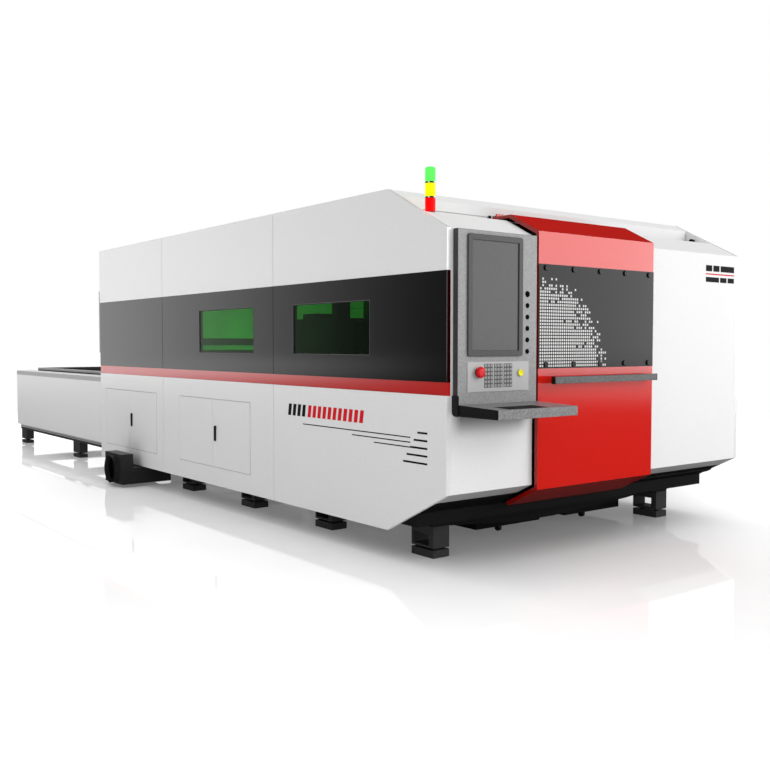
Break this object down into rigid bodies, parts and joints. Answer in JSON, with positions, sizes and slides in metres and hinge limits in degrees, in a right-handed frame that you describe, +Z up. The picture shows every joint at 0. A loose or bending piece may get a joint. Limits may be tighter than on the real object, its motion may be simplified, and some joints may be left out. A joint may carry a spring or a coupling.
{
  "type": "fiber laser cutting machine",
  "caption": "Enclosed fiber laser cutting machine with chamfered white housing, sliding red front door, operator console, stack light and a pallet exchange table at the rear.",
  "frame": {"origin": "centre of the machine footprint on the floor, at the middle of its overall width and length", "axes": "+X to the right seen from the operator end, +Y along the length from the front door to the exchange table, +Z up"},
  "size_m": [3.25, 9.678, 2.427],
  "materials": {
    "white_panel": "fine-textured powder coat",
    "grey_panel": "satin powder coat",
    "dark_plate": "gloss",
    "red_paint": "gloss",
    "green_glass": "tinted laser glass",
    "black_paint": "fine-textured powder coat",
    "console_paint": "satin",
    "screen": "gloss",
    "key_plastic": "matte",
    "black_plastic": "matte",
    "estop_red": "gloss",
    "start_yellow": "gloss",
    "lens_red": "gloss",
    "lens_amber": "gloss",
    "lens_green": "gloss",
    "steel": "machined",
    "aluminium": "machined",
    "bed_paint": "satin",
    "wheel_plastic": "matte"
  },
  "bodies": {
    "machine": {"left_upper_panels": "white_panel", "left_lower_panels": "white_panel", "right_upper_panels": "white_panel", "right_lower_panels": "white_panel", "red_side_bands": "red_paint", "dark_band_plates": "dark_plate", "viewing_windows": "green_glass", "roof_panel": "white_panel", "left_front_cabinet": "white_panel", "right_front_cabinet": "white_panel", "front_beam": "black_paint", "door_frame": "black_paint", "rear_wall": "white_panel", "rear_hood": "grey_panel", "door_rails": "steel", "console_housing": "console_paint", "keyboard_tray": "console_paint", "monitor_bezel": "black_plastic", "monitor_screen": "screen", "keypad_plate": "grey_panel", "keypad_keys": "key_plastic", "status_lamps": "black_plastic", "stack_light_red": "lens_red", "stack_light_amber": "lens_amber", "stack_light_green": "lens_green", "stack_light_rings": "black_plastic", "electrical_tubs": "grey_panel", "exhaust_duct": "black_paint", "exhaust_spigot": "black_paint", "bed_frame": "bed_paint", "bed_feet": "black_paint", "gantry_rails": "steel", "table_frame": "bed_paint", "table_covers": "white_panel"},
    "front_door": {"door_shell": "red_paint", "door_dark_panel": "dark_plate", "door_screws": "steel", "door_handle": "black_paint"},
    "roller_left": {"door_roller_left": "steel"},
    "roller_right": {"door_roller_right": "steel"},
    "estop": {"estop_button": "estop_red"},
    "start_control": {"start_button": "start_yellow"},
    "leaf_middle_a": {"cabinet_door_middle_a": "white_panel"},
    "leaf_middle_b": {"cabinet_door_middle_b": "white_panel"},
    "leaf_rear_a": {"cabinet_door_rear_a": "white_panel"},
    "leaf_rear_b": {"cabinet_door_rear_b": "white_panel"},
    "latch_middle": {"cabinet_latch_middle": "black_plastic"},
    "latch_rear": {"cabinet_latch_rear": "black_plastic"},
    "gantry": {"gantry_beam": "aluminium"},
    "carriage": {"cross_carriage": "aluminium"},
    "head": {"cutting_head": "aluminium"},
    "inner_pallet": {"pallet_inner": "steel"},
    "lift": {"lift_carriage": "bed_paint"},
    "outer_pallet": {"pallet_outer": "steel"},
    "cart_1": {"scrap_cart_1": "black_paint"},
    "cart_1_front": {"scrap_cart_1_front_wheel": "wheel_plastic"},
    "cart_1_rear": {"scrap_cart_1_rear_wheels": "wheel_plastic"},
    "cart_2": {"scrap_cart_2": "black_paint"},
    "cart_2_front": {"scrap_cart_2_front_wheel": "wheel_plastic"},
    "cart_2_rear": {"scrap_cart_2_rear_wheels": "wheel_plastic"}
  },
  "joints": [
    {"name": "front_door_slide", "type": "slide", "parent": "machine", "child": "front_door", "axis": [1, 0, 0], "range_m": [0, 1.098]},
    {"name": "roller_left_spin", "type": "hinge", "parent": "front_door", "child": "roller_left", "pos_m": [-0.599, -4.073, 2.186], "axis": [0, 1, 0], "continuous": true},
    {"name": "roller_right_spin", "type": "hinge", "parent": "front_door", "child": "roller_right", "pos_m": [0.431, -4.073, 2.186], "axis": [0, 1, 0], "continuous": true},
    {"name": "estop_press", "type": "slide", "parent": "machine", "child": "estop", "axis": [0, 1, 0], "range_m": [0, 0.006]},
    {"name": "start_press", "type": "slide", "parent": "machine", "child": "start_control", "axis": [0, 1, 0], "range_m": [0, 0.004], "stiffness_N_per_m": 600},
    {"name": "cabinet_middle_a_hinge", "type": "hinge", "parent": "machine", "child": "leaf_middle_a", "pos_m": [-1.375, -2.156, 0.625], "axis": [0, 0, 1], "range_deg": [0, 100]},
    {"name": "cabinet_middle_b_hinge", "type": "hinge", "parent": "machine", "child": "leaf_middle_b", "pos_m": [-1.375, -0.906, 0.625], "axis": [0, 0, -1], "range_deg": [0, 100]},
    {"name": "cabinet_middle_latch_turn", "type": "hinge", "parent": "leaf_middle_a", "child": "latch_middle", "pos_m": [-1.382, -1.581, 0.672], "axis": [-1, 0, 0], "range_deg": [0, 90]},
    {"name": "cabinet_rear_a_hinge", "type": "hinge", "parent": "machine", "child": "leaf_rear_a", "pos_m": [-1.375, -0.404, 0.625], "axis": [0, 0, 1], "range_deg": [0, 100]},
    {"name": "cabinet_rear_b_hinge", "type": "hinge", "parent": "machine", "child": "leaf_rear_b", "pos_m": [-1.375, 0.846, 0.625], "axis": [0, 0, -1], "range_deg": [0, 100]},
    {"name": "cabinet_rear_latch_turn", "type": "hinge", "parent": "leaf_rear_a", "child": "latch_rear", "pos_m": [-1.382, 0.171, 0.672], "axis": [-1, 0, 0], "range_deg": [0, 90]},
    {"name": "gantry_travel", "type": "slide", "parent": "machine", "child": "gantry", "axis": [0, 1, 0], "range_m": [-0.78, 3.05]},
    {"name": "carriage_travel", "type": "slide", "parent": "gantry", "child": "carriage", "axis": [1, 0, 0], "range_m": [0, 1.7]},
    {"name": "head_lower", "type": "slide", "parent": "carriage", "child": "head", "axis": [0, 0, -1], "range_m": [0, 0.24]},
    {"name": "inner_pallet_travel", "type": "slide", "parent": "machine", "child": "inner_pallet", "axis": [0, -1, 0], "range_m": [-4.4, 0]},
    {"name": "lift_lower", "type": "slide", "parent": "machine", "child": "lift", "axis": [0, 0, -1], "range_m": [0, 0.228]},
    {"name": "outer_pallet_travel", "type": "slide", "parent": "lift", "child": "outer_pallet", "axis": [0, 1, 0], "range_m": [-4.4, 0]},
    {"name": "cart_1_slide", "type": "slide", "parent": "machine", "child": "cart_1", "axis": [0, -1, 0], "range_m": [0, 1]},
    {"name": "cart_1_front_roll", "type": "hinge", "parent": "cart_1", "child": "cart_1_front", "pos_m": [-0.1665, -3.663, 0.026], "axis": [1, 0, 0], "continuous": true},
    {"name": "cart_1_rear_roll", "type": "hinge", "parent": "cart_1", "child": "cart_1_rear", "pos_m": [-0.1665, -2.881, 0.026], "axis": [1, 0, 0], "continuous": true},
    {"name": "cart_2_slide", "type": "slide", "parent": "machine", "child": "cart_2", "axis": [0, -1, 0], "range_m": [0, 1]},
    {"name": "cart_2_front_roll", "type": "hinge", "parent": "cart_2", "child": "cart_2_front", "pos_m": [0.7515, -3.663, 0.026], "axis": [1, 0, 0], "continuous": true},
    {"name": "cart_2_rear_roll", "type": "hinge", "parent": "cart_2", "child": "cart_2_rear", "pos_m": [0.7515, -2.881, 0.026], "axis": [1, 0, 0], "continuous": true}
  ],
  "couplings": [
    {"joint": "roller_left_spin", "follows": "front_door_slide", "rad_per_m": 45.455},
    {"joint": "roller_right_spin", "follows": "front_door_slide", "rad_per_m": 45.455},
    {"joint": "cart_1_front_roll", "follows": "cart_1_slide", "rad_per_m": 38.462},
    {"joint": "cart_1_rear_roll", "follows": "cart_1_slide", "rad_per_m": 38.462},
    {"joint": "cart_2_front_roll", "follows": "cart_2_slide", "rad_per_m": 38.462},
    {"joint": "cart_2_rear_roll", "follows": "cart_2_slide", "rad_per_m": 38.462}
  ]
}
